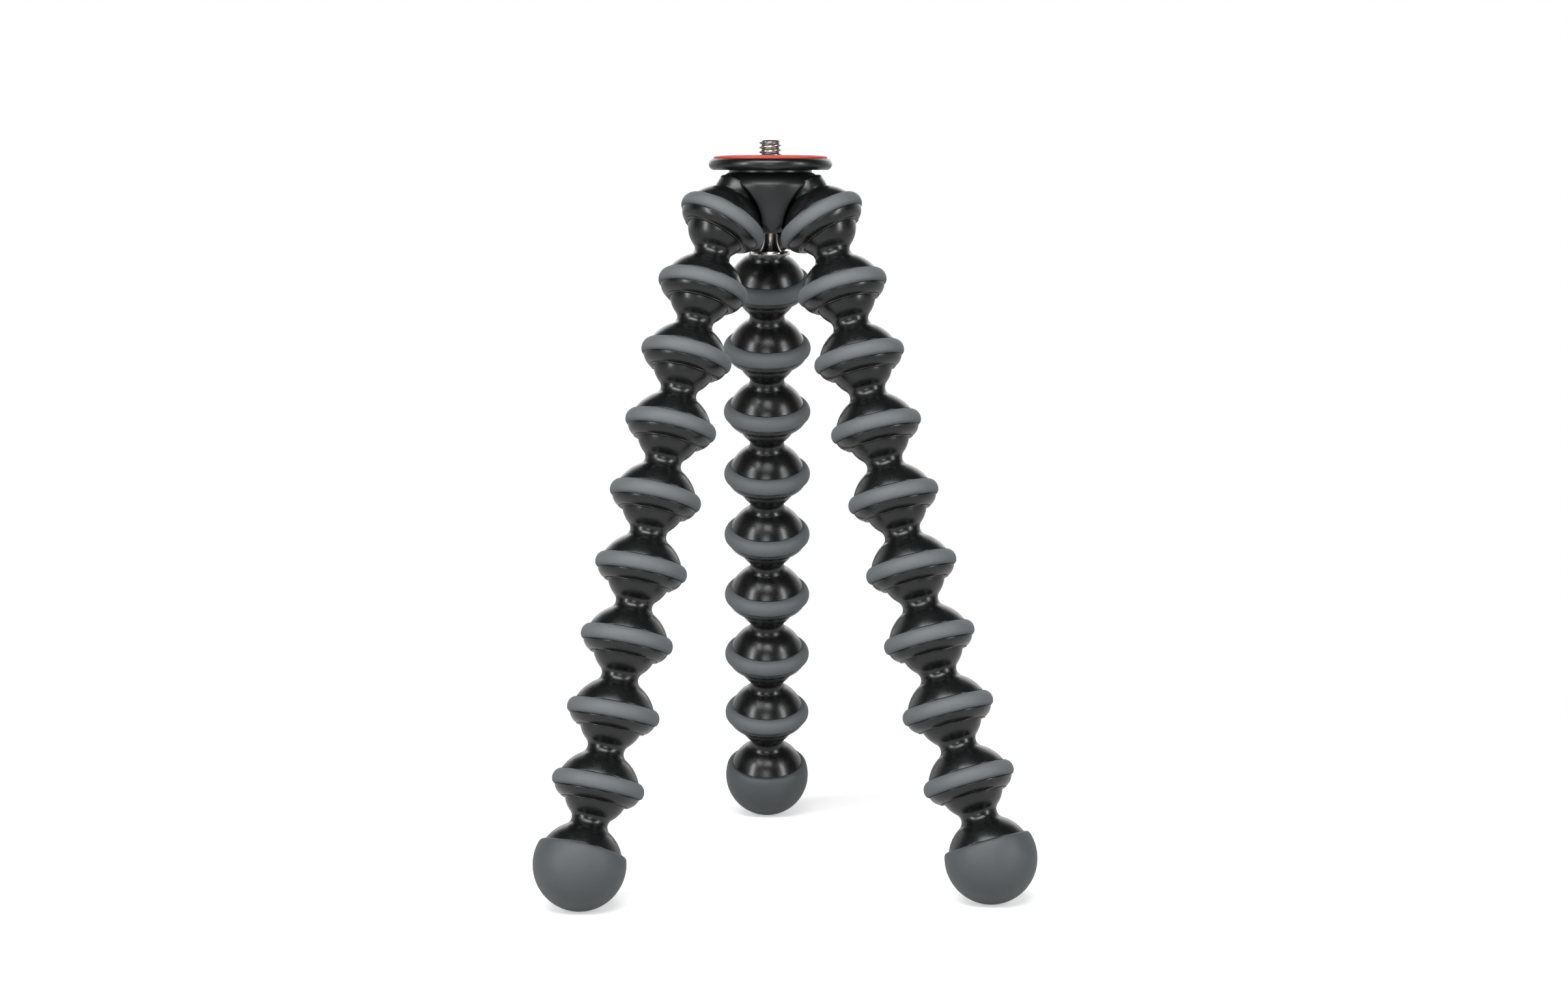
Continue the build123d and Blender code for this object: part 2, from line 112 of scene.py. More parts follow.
class TripodSizes(bpy.types.PropertyGroup):
    """Sizes of the shown pieces, most of them the solid model's."""

    ball_radius: length("Ball radius", 8.6, "Radius of a joint's ball")
    ball_clearance: length("Ball clearance", 0.08, "Gap between a ball and its socket")
    link_pitch: length("Link pitch", 19.75, "Distance from one ball to the next")
    neck_fillet: length("Neck fillet", 2.3, "Radius of the hollow between ball and dome")
    core_radius: length("Core hole radius", 3.2, "Radius of the hole in a ball's crown")
    core_depth: length("Core hole depth", 9.0, "Depth of the hole in a ball's crown")
    dome_radius: length("Dome radius", 11.4, "Radius of a link's dome")
    skirt_radius: length("Skirt radius", 11.5, "Radius of the skirt just below the grip ring")
    skirt_belly: length("Skirt belly radius", 10.75, "Radius of the skirt at its belly")
    skirt_belly_depth: length("Skirt belly depth", 1.4, "Depth of the skirt's belly below the ball's centre")
    skirt_lip: length("Skirt lip radius", 9.4, "Radius of the skirt at its lower end")
    skirt_depth: length("Skirt depth", 2.5, "Depth of the skirt's lower end below the ball's centre")
    groove_radius: length("Groove radius", 9.9, "Radius of the floor of the ring's groove")
    ring_centre: length("Ring centre height", 2.25, "Height of a grip ring's middle above the ball's centre")
    ring_radius: length("Ring radius", 12.5, "Outer radius of a grip ring")
    ring_height: length("Ring height", 4.3, "Height of a grip ring")
    ring_proud: length("Ring edge step", 0.4, "How far a grip ring's edges stand proud of dome and skirt")
    ring_round: length("Ring edge rounding", 0.62, "Rounding of a grip ring's edges")
    ring_gap: length("Ring side gap", 0.05, "Gap above and below a grip ring")
    liner_radius: length("Liner radius", 9.2, "Outer radius of the snap collar in a socket")
    liner_top: length("Liner top depth", 0.3, "Depth of the snap collar's upper edge")
    liner_lip: length("Liner lip", 0.25, "How far the snap collar stands out of the skirt")
    nub_width: length("Nub width", 0.8, "Width of a moulding nub on the snap collar")
    edge_round: length("Edge rounding", 0.22, "Rounding of moulded edges")
    foot_radius: length("Foot radius", 12.45, "Radius of a foot cap")
    foot_wall: length("Foot wall", 1.8, "Wall of a foot cap")
    foot_rim: length("Foot rim height", 4.4, "Height of a foot cap's rim above its centre")
    foot_rim_round: length("Foot rim rounding", 0.9, "Rounding of a foot cap's rim")
    pad_thickness: length("Pad thickness", 0.95, "Thickness of the pad at its middle")
    pad_radius: length("Pad radius", 15.6955, "Outer radius of the pad")
    pad_flat: length("Pad flat radius", 9.0, "Radius within which the pad is flat")
    pad_crown: length("Pad crown", 0.4, "Fall of the pad's face towards its edge")
    pad_hole: length("Pad hole radius", 4.2, "Radius of the hole round the screw")
    disc_radius: length("Disc radius", 17.05, "Outer radius of the mounting disc")
    disc_thickness: length("Disc thickness", 3.15, "Thickness of the mounting disc")
    disc_neck: length("Disc neck radius", 11.45, "Radius of the neck below the disc")
    disc_neck_height: length("Disc neck height", 0.65, "Height of the neck below the disc")
    shoulder_radius: length("Shoulder radius", 14.75, "Widest radius of the casing")
    shoulder_drop: length("Shoulder drop", 3.4, "Depth of the widest part below the casing's top")
    shoulder_belly: length("Shoulder belly radius", 13.5, "Radius halfway down the shoulder")
    shoulder_belly_drop: length("Shoulder belly drop", 1.55, "Depth of the shoulder's belly")
    flank_belly: length("Flank belly radius", 13.3, "Radius of the casing's flank at its belly")
    flank_belly_drop: length("Flank belly drop", 6.4, "Depth of the flank's belly below the shoulder")
    tip_radius: length("Tip radius", 9.4, "Radius of the casing at its lower end")
    body_height: length("Casing height", 16.65, "Height of the casing without its disc")
    moat_radius: length("Moat radius", 10.5, "Radius of the rounded moat round an arm's root")
    moat_height: length("Moat height", 3.3, "Height of the moat's centre above the arm's ball")
    cut_radius: length("Cut radius", 20.0, "Radius of the room round an arm")
    cut_height: length("Cut height", 5.5, "Height of that room above the arm's ball")
    root_radius: length("Arm root radius", 6.5, "Radius of the arm's root")
    root_length: length("Arm root length", 16.0, "Length of the arm's root")
    voxel: length("Casing cell", 0.2, "Cell with which the casing's ridges are rounded")
    thread_radius: length("Thread radius", 3.12, "Crest radius of the camera screw")
    thread_pitch: length("Thread pitch", 1.27, "Advance of the thread in one turn")
    thread_depth: length("Thread depth", 0.75, "Depth of the thread")
    thread_height: length("Thread height", 4.1, "Height of the screw above the pad")
    thread_foot: length("Thread foot", 2.2, "Depth of the shown thread below the pad's face")
    thread_chamfer: length("Thread chamfer", 0.5, "Chamfer at the screw's upper end")
    shank_radius: length("Shank radius", 1.75, "Radius of the post below the casing")
    flange_radius: length("Flange radius", 5.45, "Radius of the turning flange")
    flange_rim: length("Flange rim", 1.0, "Height of the flange's rim")
    flange_flare: length("Flange flare", 4.6, "Height of the flange's flare")
    flare_radius: length("Flare radius", 3.3, "Radius of the flare at the flange")
    flange_dome: length("Flange dome", 1.3, "Depth of the dome below the flange")
    flange_drop: length("Flange drop", 9.2, "Depth of the flange's lowest point below the arms' balls")
    slot_width: length("Slot width", 1.2, "Width of the coin slot")
    slot_depth: length("Slot depth", 0.9, "Depth of the coin slot")


class TripodFinish(bpy.types.PropertyGroup):
    """Colours and finishes of the shown pieces."""

    black: paint_colour("Black plastic", (0.0032, 0.0034, 0.0036), "Moulded glossy black plastic")
    satin: paint_colour("Satin plastic", (0.006, 0.0064, 0.0068), "Grained plastic of the casing")
    rubber: paint_colour("Grey rubber", (0.084, 0.093, 0.099), "Rubber of grip rings and foot caps")
    red: paint_colour("Red rubber", (0.31, 0.028, 0.017), "Rubber of the camera pad")
    steel: paint_colour("Steel", (0.62, 0.595, 0.57), "Steel of the camera screw and flange")
    bronze: paint_colour("Bronze", (0.66, 0.53, 0.39), "Plating of the post")
    gloss_roughness: share("Gloss roughness", 0.26, "Roughness of the glossy plastic")
    satin_roughness: share("Satin roughness", 0.36, "Roughness of the casing's plastic")
    rubber_roughness: share("Rubber roughness", 0.62, "Roughness of the rubber")


def millimetres():
    """The sizes as plain numbers in millimetres, by name."""
    group = bpy.context.scene.tripod_sizes
    return SimpleNamespace(**{name: getattr(group, name) / MM for name in TripodSizes.__annotations__})


class Field:
    """A value in a material's node tree that takes arithmetic."""

    def __init__(self, paint, socket):
        self.paint = paint
        self.socket = socket

    def maths(self, operation, *values):
        """The result of a maths node on these values."""
        return self.paint.node("ShaderNodeMath", 0, dict(enumerate(values)), operation=operation)

    def __add__(self, other):
        return self.maths("ADD", self, other)

    def __radd__(self, other):
        return self.maths("ADD", other, self)

    def __sub__(self, other):
        return self.maths("SUBTRACT", self, other)

    def __rsub__(self, other):
        return self.maths("SUBTRACT", other, self)

    def __mul__(self, other):
        return self.maths("MULTIPLY", self, other)

    def __rmul__(self, other):
        return self.maths("MULTIPLY", other, self)

    def __truediv__(self, other):
        return self.maths("DIVIDE", self, other)

    def __pow__(self, other):
        return self.maths("POWER", self, other)

    def __abs__(self):
        return self.maths("ABSOLUTE", self)

    def between(self, low, high):
        """0 below low, 1 above high, and smooth in between."""
        values = {"Value": self, "From Min": low, "From Max": high}
        return self.paint.node("ShaderNodeMapRange", 0, values, interpolation_type="SMOOTHSTEP")


class Paint:
    """The node tree of a new material or world, built up from fields."""

    def __init__(self, name, store="materials", end="ShaderNodeOutputMaterial"):
        self.owner = getattr(bpy.data, store).new(name)
        self.owner.use_nodes = True
        self.tree = self.owner.node_tree
        self.tree.nodes.clear()
        self.end = end

    def feed(self, socket, value):
        """Links a field to a socket, or writes a plain value on it."""
        if isinstance(value, Field):
            self.tree.links.new(value.socket, socket)
        else:
            socket.default_value = value

    def node(self, kind, output, values, **settings):
        """Adds a node and returns one of its outputs as a field."""
        node = self.tree.nodes.new(kind)
        for name, value in settings.items():
            setattr(node, name, value)
        for name, value in values.items():
            self.feed(node.inputs[name], value)
        return Field(self, node.outputs[output])

    def local(self):
        """Place on the piece in its own frame, in millimetres, before the piece was put in place."""
        return self.node("ShaderNodeAttribute", "Vector", {}, attribute_name="local")

    def axes(self, place):
        """The three coordinates of a place as fields."""
        first = self.node("ShaderNodeSeparateXYZ", 0, {0: place})
        outputs = first.socket.node.outputs
        return [Field(self, outputs[index]) for index in range(3)]

    def radius(self, place):
        """Distance of a place from the Z axis."""
        x, y, _ = self.axes(place)
        return (x * x + y * y) ** 0.5

    def stretched(self, place, scale):
        """A place with its coordinates scaled one by one."""
        x, y, z = self.axes(place)
        values = {0: x * scale[0], 1: y * scale[1], 2: z * scale[2]}
        return self.node("ShaderNodeCombineXYZ", 0, values)

    def noise(self, place, scale, detail=2.0):
        """Noise from 0 to 1 over a place."""
        return self.node("ShaderNodeTexNoise", 0, {"Vector": place, "Scale": scale, "Detail": detail})

    def shade(self, colour, value):
        """A colour times a field."""
        return self.node("ShaderNodeCombineColor", 0, {index: value * colour[index] for index in range(3)})

    def bump(self, height, strength, distance):
        """Normal of a surface with this height on it."""
        return self.node("ShaderNodeBump", 0, {"Height": height, "Strength": strength, "Distance": distance})

    def surface(self, **values):
        """Ends the material with a surface shader, its inputs given by name with underscores."""
        named = {name.replace("_", " "): value for name, value in values.items()}
        shader = self.node("ShaderNodeBsdfPrincipled", 0, named)
        return self.finish(shader)

    def polymer(self, colour, tone, rough, normal, specular):
        """Ends the material as plastic or rubber."""
        return self.surface(
            Base_Color=self.shade(colour, tone), Roughness=rough, Normal=normal, IOR=1.5,
            Specular_IOR_Level=specular,
        )

    def finish(self, shader):
        """Links a shader to the output and returns what owns the tree."""
        output = self.tree.nodes.new(self.end)
        self.tree.links.new(shader.socket, output.inputs["Surface"])
        return self.owner


def parting_line(paint, place, width):
    """1 on a thin line down one meridian of a turned piece, 0 elsewhere."""
    x, y, _ = paint.axes(place)
    return (1.0 - abs(x).between(width * 0.35, width)) * y.between(0.0, 0.5)


def moulded_plastic(name, colour, roughness, grain):
    """Moulded black plastic with a fine grain, flow marks, smears, dust and a parting line."""
    paint = Paint(name)
    place = paint.local()
    flow = paint.noise(paint.stretched(place, (0.5, 0.5, 0.14)), 0.9, 3.0)
    fine = paint.noise(place, 5.5, 3.0)
    dust = paint.noise(place, 2.3, 1.0).between(0.74, 0.8)
    smear = paint.noise(place, 0.35, 4.0).between(0.42, 0.68)
    line = parting_line(paint, place, 0.11)
    tone = 0.8 + flow * 0.4 + dust * 1.5 + line * 0.8
    rough = roughness + smear * 0.07 + (fine - 0.5) * 0.1 + dust * 0.15
    height = fine * grain + line * 0.012 + flow * 0.002
    normal = paint.bump(height, 0.55, MM)
    return paint.polymer(colour, tone, rough, normal, specular=0.4)


def grained_plastic(name, colour, roughness):
    """Satin plastic of the casing, with a spark-eroded grain and a painted sheen that makes it lighter low
    down.
    """
    paint = Paint(name)
    place = paint.node("ShaderNodeTexCoord", "Object", {})
    _, _, z = paint.axes(place)
    grain = paint.noise(place, 5200.0, 2.0)
    coarse = paint.noise(place, 900.0, 3.0)
    # Painted sheen: the casing is painted lighter low down, for the light that its convex lower tip catches.
    low = 1.0 - z.between(-21.0 * MM, -9.0 * MM)
    tone = 0.5 + grain * 0.3 + coarse * 0.2 + low * 2.2
    rough = roughness + (grain - 0.5) * 0.16 + coarse * 0.06
    normal = paint.bump(grain * 0.003 + coarse * 0.004, 0.6, MM)
    return paint.polymer(colour, tone, rough, normal, specular=0.35)


def grip_rubber(name, colour, roughness, low_edge, high_edge):
    """Matte grey rubber with painted shade that makes it a little darker towards both edges, with specks,
    rubbed spots and a flash line.
    """
    paint = Paint(name)
    place = paint.local()
    _, _, z = paint.axes(place)
    fine = paint.noise(place, 7.0, 3.0)
    patch = paint.noise(place, 0.6, 3.0)
    speck = paint.noise(place, 3.4, 1.0).between(0.72, 0.78)
    middle = (low_edge + high_edge) / 2
    half = (high_edge - low_edge) / 2
    # Painted shade: the band is darkened towards both edges, where it turns from the light and meets dome and
    # skirt.
    edge = (abs(z - middle) / half).between(0.55, 1.0)
    flash = 1.0 - abs(z - middle + 0.35).between(0.03, 0.1)
    tone = 0.86 + patch * 0.22 + (fine - 0.5) * 0.16 + speck * 0.35 - edge * 0.16
    rough = roughness + (patch - 0.5) * 0.2 + edge * 0.08
    height = fine * 0.003 + patch * 0.015 + flash * 0.008
    normal = paint.bump(height, 0.5, MM)
    return paint.polymer(colour, tone, rough, normal, specular=0.42)


def foot_rubber(name, colour, roughness):
    """Matte grey rubber of a foot cap, with fine stipple and faint scuffs near the ground."""
    paint = Paint(name)
    place = paint.local()
    _, _, z = paint.axes(place)
    fine = paint.noise(place, 6.0, 3.0)
    patch = paint.noise(place, 0.28, 4.0)
    scuff = paint.noise(paint.stretched(place, (0.5, 0.5, 2.4)), 1.4, 5.0).between(0.56, 0.7)
    ground = 1.0 - z.between(-11.5, -6.0)
    tone = 0.46 + patch * 0.2 + (fine - 0.5) * 0.12 + scuff * ground * 0.2
    rough = roughness - 0.06 + (patch - 0.5) * 0.22
    normal = paint.bump(fine * 0.003 + scuff * ground * 0.006, 0.5, MM)
    return paint.polymer(colour, tone, rough, normal, specular=0.4)


def pad_rubber(name, colour):
    """Red rubber of the pad, with fine rings from its mould, paler towards its edge."""
    paint = Paint(name)
    place = paint.local()
    radius = paint.radius(place)
    rings = radius.maths("SINE", radius * 9.0)
    fine = paint.noise(place, 7.0, 3.0)
    patch = paint.noise(place, 0.5, 3.0)
    # The pad is paler towards its edge.
    paler_edge = radius.between(15.0, 15.7)
    tone = 0.88 + patch * 0.18 + (fine - 0.5) * 0.14 + paler_edge * 0.12
    rough = 0.5 + (patch - 0.5) * 0.2
    normal = paint.bump(rings * 0.004 + fine * 0.004, 0.5, MM)
    return paint.polymer(colour, tone, rough, normal, specular=0.3)


def turned_metal(name, colour, roughness, shade_radius, shade_depth):
    """Turned metal with fine tool marks, and painted shade that makes it darker where the radius is small."""
    paint = Paint(name)
    place = paint.local()
    radius = paint.radius(place)
    marks = paint.noise(paint.stretched(place, (0.25, 0.25, 9.0)), 2.2, 3.0)
    streaks = paint.noise(paint.stretched(place, (3.0, 3.0, 0.2)), 1.5, 3.0)
    fine = paint.noise(place, 9.0, 2.0)
    # Painted shade: darkened where the radius is small, in the thread's valleys and where the flange meets
    # the post.
    painted_shade = 1.0 - radius.between(shade_radius, shade_radius + shade_depth)
    tone = (0.72 + streaks * 0.4 + (fine - 0.5) * 0.1) * (1.0 - painted_shade * 0.6)
    rough = roughness + (marks - 0.5) * 0.18 + painted_shade * 0.2
    normal = paint.bump(marks * 0.003 + fine * 0.001, 0.5, MM)
    return paint.surface(Base_Color=paint.shade(colour, tone), Roughness=rough, Metallic=1.0, Normal=normal)


def get_paint(name):
    """The material with this name, which the finishes operator has made."""
    material = bpy.data.materials.get(name)
    if material is None:
        raise RuntimeError(f"the finish {name} isn't there yet: run the finishes first")
    return material


def arc(centre, radius, start, end, count):
    """Points of an arc, its angles in degrees."""
    angles = [math.radians(start + (end - start) * step / count) for step in range(count + 1)]
    return [(centre[0] + radius * math.cos(a), centre[1] + radius * math.sin(a)) for a in angles]


def through(first, middle, last, count):
    """Points of the arc from first to last through a middle point."""
    ax, ay = first
    bx, by = middle
    cx, cy = last
    d = 2 * (ax * (by - cy) + bx * (cy - ay) + cx * (ay - by))
    a2, b2, c2 = ax * ax + ay * ay, bx * bx + by * by, cx * cx + cy * cy
    ux = (a2 * (by - cy) + b2 * (cy - ay) + c2 * (ay - by)) / d
    uy = (a2 * (cx - bx) + b2 * (ax - cx) + c2 * (bx - ax)) / d
    start = math.degrees(math.atan2(ay - uy, ax - ux))
    half = (math.degrees(math.atan2(by - uy, bx - ux)) - start + 180) % 360 - 180
    rest = math.degrees(math.atan2(cy - uy, cx - ux)) - start
    rest = rest % 360 if half > 0 else -((-rest) % 360)
    return arc((ux, uy), math.hypot(ax - ux, ay - uy), start, start + rest, count)


def level_radius(radius, height):
    """Radius of the circle that a plane at this height cuts from a sphere."""
    return math.sqrt(radius * radius - height * height)


def angle_at(height, radius):
    """Angle in degrees at which an arc round the origin has this height."""
    return math.degrees(math.asin(height / radius))


def soft_corner(before, corner, after, size, count=4):
    """Points that round a corner between two neighbours."""
    corner = Vector(corner)
    start = corner + (Vector(before) - corner).normalized() * size
    end = corner + (Vector(after) - corner).normalized() * size
    steps = [step / count for step in range(count + 1)]
    return [tuple(start * (1 - t) ** 2 + corner * 2 * t * (1 - t) + end * t * t) for t in steps]


def baked(name, shape):
    """Mesh of a built shape, which is freed."""
    mesh = bpy.data.meshes.new(name)
    shape.to_mesh(mesh)
    shape.free()
    return mesh


def linked(name, data):
    """New object of the scene."""
    thing = bpy.data.objects.new(name, data)
    bpy.context.scene.collection.objects.link(thing)
    return thing


def mark_local(shape):
    """Keeps each vertex's place in the piece's own frame, for the finishes."""
    layer = shape.verts.layers.float_vector.new("local")
    for vertex in shape.verts:
        vertex[layer] = vertex.co


def to_mesh(name, shape, sharp=38.0):
    """Mesh of a built shape, smooth but for its sharp edges."""
    bmesh.ops.recalc_face_normals(shape, faces=shape.faces)
    for face in shape.faces:
        face.smooth = True
    for edge in shape.edges:
        edge.smooth = edge.calc_face_angle(0.0) < math.radians(sharp)
    mark_local(shape)
    return baked(name, shape)


def soften(shape, edges, offset, segments):
    """Rounds some edges of a shape."""
    bmesh.ops.bevel(
        shape, geom=edges, offset=offset, offset_type="OFFSET", affect="EDGES", segments=segments,
        profile=0.5, material=-1,
    )


def spun(profile, steps, closed=False):
    """Surface turned round Z from (radius, height) points, as an open shape to work on."""
    shape = bmesh.new()
    points = [shape.verts.new((radius, 0, height)) for radius, height in profile]
    edges = [shape.edges.new(pair) for pair in zip(points, points[1:])]
    if closed:
        edges.append(shape.edges.new((points[-1], points[0])))
    bmesh.ops.spin(
        shape, geom=points + edges, cent=(0, 0, 0), axis=(0, 0, 1), angle=math.tau, steps=steps,
        use_merge=True,
    )
    bmesh.ops.remove_doubles(shape, verts=shape.verts, dist=MERGE_GAP)
    return shape


def put(name, mesh, matrix, body, slot, finish, *nodes):
    """Places a mesh built in millimetres as a piece that rides on a body and stands for CAD nodes."""
    mesh.transform(matrix @ Matrix.Scale(MM, 4))
    mesh.materials.clear()
    mesh.materials.append(get_paint(finish))
    piece = linked(name, mesh)
    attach(piece, body)
    if nodes:
        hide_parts(*nodes)


def heading(azimuth, lean):
    """Unit vector that leans away from straight down towards an azimuth."""
    out = math.sin(math.radians(lean))
    along = math.radians(azimuth)
    return Vector((out * math.cos(along), out * math.sin(along), -math.cos(math.radians(lean))))


def seat(centre, down, turn=0.0):
    """Matrix of a frame at a ball's centre whose Z points back up the leg."""
    up = -down
    across = Vector((0, 0, 1)).cross(down).normalized()
    depth = up.cross(across)
    basis = Matrix((across, depth, up)).transposed().to_4x4()
    return Matrix.Translation(centre) @ basis @ Matrix.Rotation(math.radians(turn), 4, "Z")


def joint_places():
    """Ball centres and downward directions of every leg, from the frame's joints."""
    joints = {joint["name"]: joint for joint in frame["joints"]}
    places = {}
    for leg in LEGS:
        centres = [Vector(joints[f"{leg}_tilt_{number}"]["pos_m"]) for number in range(1, LINKS + 2)]
        downs = [heading(*ARM_HEADINGS[leg])]
        downs += [(after - before).normalized() for before, after in zip(centres, centres[1:])]
        downs.append(heading(*FOOT_HEADINGS[leg]))
        places[leg] = (centres, downs)
    return places


def ball_and_neck(size):
    """Outline from a link's core hole over ball and neck to the dome's start, and the dome's start angle."""
    to_ball = size.ball_radius + size.neck_fillet
    to_dome = size.dome_radius + size.neck_fillet
    pitch = size.link_pitch
    depth = (pitch * pitch + to_ball * to_ball - to_dome * to_dome) / (2 * pitch)
    out = level_radius(to_ball, depth)
    crown = math.degrees(math.acos(size.core_radius / size.ball_radius))
    floor = level_radius(size.ball_radius, size.core_radius) - size.core_depth
    ball_end = -math.degrees(math.atan2(depth, out))
    dome_start = math.degrees(math.atan2(pitch - depth, out))
    points = [(0, floor), (size.core_radius, floor)]
    points += arc((0, 0), size.ball_radius, crown, ball_end, count=30)
    points += arc((out, -depth), size.neck_fillet, 180 + ball_end, 180 + dome_start, count=14)[1:]
    return points, dome_start


def socket_outline(size, start_angle):
    """Outline from a dome's start angle down to the skirt and up into the hollow, round the ball's centre."""
    top = size.ring_centre + size.ring_height / 2 + size.ring_gap
    bottom = size.ring_centre - size.ring_height / 2 - size.ring_gap
    edge_angle = angle_at(top, size.dome_radius)
    dome = arc((0, 0), size.dome_radius, start_angle, edge_angle, count=24)
    dome_edge = dome[-1]
    groove_top = (size.groove_radius, top)
    groove_bottom = (size.groove_radius, bottom)
    skirt_top = (size.skirt_radius, bottom)
    skirt_end = (size.skirt_lip, -size.skirt_depth)
    skirt = through(skirt_top, (size.skirt_belly, -size.skirt_belly_depth), skirt_end, count=12)
    mouth = (size.liner_radius, -size.skirt_depth)
    step = (size.liner_radius, -size.liner_top)
    hollow = size.ball_radius + size.ball_clearance
    hollow_start = angle_at(-size.liner_top, hollow)
    return (
        dome[:-1]
        + soft_corner(dome[-2], dome_edge, groove_top, size.edge_round)
        + [groove_top, groove_bottom]
        + soft_corner(groove_bottom, skirt_top, skirt[1], size.edge_round)
        + skirt[1:-1]
        + soft_corner(skirt[-2], skirt_end, mouth, size.edge_round / 3, count=2)
        + [mouth, step]
        + arc((0, 0), hollow, hollow_start, 90, count=14)
    )


def lowered(points, drop):
    """Outline points moved down."""
    return [(radius, height - drop) for radius, height in points]


def liner_mesh(size):
    """Snap collar with small moulding nubs at its lip, round the ball's centre."""
    nub_inset, nub_depth, nub_height, nub_round = 0.1, 0.3, 0.36, 0.1
    hollow = size.ball_radius + size.ball_clearance
    lip = size.skirt_depth + size.liner_lip
    inner = arc((0, 0), hollow, angle_at(-size.liner_top, hollow), angle_at(-lip, hollow), count=6)
    lip_out = (size.liner_radius, -lip)
    outline = inner + soft_corner(inner[-1], lip_out, (size.liner_radius, 0), size.edge_round / 2, count=3)
    shape = spun(outline + [(size.liner_radius, -size.liner_top)], steps=80, closed=True)
    middle = Matrix.Translation((size.liner_radius - nub_inset, 0, -lip + nub_inset))
    scale = Matrix.Diagonal((nub_depth, size.nub_width, nub_height, 1))
    for index in range(NUBS):
        turn = Matrix.Rotation(math.tau * index / NUBS, 4, "Z")
        nub = bmesh.ops.create_cube(shape, size=1.0, matrix=turn @ middle @ scale)
        edges = list({edge for vertex in nub["verts"] for edge in vertex.link_edges})
        soften(shape, edges, nub_round, segments=2)
    return to_mesh("liner", shape, sharp=50.0)


def link_mesh(size):
    """Ball, neck, dome and socket of one link, with the ball's centre at the origin."""
    upper, dome_start = ball_and_neck(size)
    outline = upper + lowered(socket_outline(size, dome_start)[1:], size.link_pitch)
    return to_mesh("link", spun(outline, steps=80))


def arm_mesh(size):
    """Dome and socket of a hub arm, with the ball's centre at the origin."""
    return to_mesh("arm", spun(socket_outline(size, 90.0), steps=96))


def ring_mesh(size):
    """Grip ring round the ball's centre, widest a little below its middle."""
    bore_gap, belly_drop, lead = 0.1, 0.15, 4
    half = size.ring_height / 2
    top = size.ring_centre + half
    bottom = size.ring_centre - half
    bore = size.groove_radius + bore_gap
    top_out = (level_radius(size.dome_radius, top) + size.ring_proud, top)
    bottom_out = (size.skirt_radius + size.ring_proud, bottom)
    band = through(top_out, (size.ring_radius, size.ring_centre - belly_drop), bottom_out, count=26)
    outline = (
        [(bore, top)]
        + soft_corner((bore, top), top_out, band[lead], size.ring_round, count=6)
        + [point for point in band if abs(point[1] - size.ring_centre) < half - size.ring_round]
        + soft_corner(band[-1 - lead], bottom_out, (bore, bottom), size.ring_round, count=6)
        + [(bore, bottom)]
    )
    return to_mesh("grip_ring", spun(outline, steps=96, closed=True))


def foot_link_mesh(size):
    """Ball, neck, dome and round core of the last link."""
    upper, dome_start = ball_and_neck(size)
    core = size.foot_radius - size.foot_wall
    edge_angle = angle_at(size.foot_rim, size.dome_radius)
    dome = arc((0, 0), size.dome_radius, dome_start, edge_angle, count=24)
    step = (level_radius(core, size.foot_rim), size.foot_rim)
    round_edge = soft_corner(dome[-2], dome[-1], step, size.edge_round)
    core_arc = arc((0, 0), core, angle_at(size.foot_rim, core), -90, count=24)
    lower = lowered(dome[1:-1] + round_edge + core_arc, size.link_pitch)
    return to_mesh("foot_link", spun(upper + lower, steps=80))


def foot_cap_mesh(size):
    """Rubber cap of a foot, centred on the origin."""
    rim_gap, lead = 0.05, 3
    core = size.foot_radius - size.foot_wall
    inside = arc((0, 0), core, -90, angle_at(size.foot_rim, core), count=24)
    outside = arc((0, 0), size.foot_radius, angle_at(size.foot_rim, size.foot_radius), -90, count=48)
    rim = soft_corner(inside[-1], outside[0], outside[lead], size.foot_rim_round, count=8)
    outer = [point for point in outside[1:] if point[1] < rim[-1][1] - rim_gap]
    return to_mesh("foot_cap", spun(inside + rim + outer, steps=112))


def disc_mesh(size):
    """Mounting disc with its rounded rim and neck."""
    bore_gap, neck_round = 0.1, 0.2
    top = -size.pad_thickness
    bottom = top - size.disc_thickness
    casing_top = bottom - size.disc_neck_height
    bore = size.thread_radius + bore_gap
    rim_middle = (size.disc_radius, (top + bottom) / 2)
    rim = through((size.pad_radius, top), rim_middle, (size.pad_radius, bottom), count=22)
    neck_top = (size.disc_neck, bottom)
    neck_foot = (size.disc_neck, casing_top)
    outline = (
        [(bore, top)]
        + rim
        + soft_corner(rim[-1], neck_top, neck_foot, neck_round)
        + [neck_foot, (bore, casing_top)]
    )
    return to_mesh("disc", spun(outline, steps=128, closed=True))


def pad_mesh(size):
    """Crowned pad round the screw."""
    edge_width, edge_step, edge_round, hole_round = 0.3, 0.1, 0.26, 0.18
    edge = (size.pad_radius - edge_width, -size.pad_crown)
    belly = ((size.pad_flat + edge[0]) / 2, -size.pad_crown / 4)
    fall = through((size.pad_flat, 0), belly, edge, count=14)
    foot = (size.pad_radius, -size.pad_thickness)
    rim = soft_corner(edge, (size.pad_radius, -size.pad_crown - edge_step), foot, edge_round)
    hole_foot = (size.pad_hole, -size.pad_thickness)
    hole = soft_corner(hole_foot, (size.pad_hole, 0), (size.pad_flat, 0), hole_round)
    return to_mesh("pad", spun([hole_foot] + hole + fall + rim + [foot], steps=128, closed=True))


def solid_object(name, shape):
    """A loose object from a built shape, in millimetres, for boolean steps."""
    bmesh.ops.recalc_face_normals(shape, faces=shape.faces)
    return linked(name, baked(name, shape))


def ball_cutter(radius, matrix):
    """Ball for cutting."""
    shape = bmesh.new()
    bmesh.ops.create_icosphere(shape, subdivisions=5, radius=radius, matrix=matrix)
    return solid_object("ball_cutter", shape)


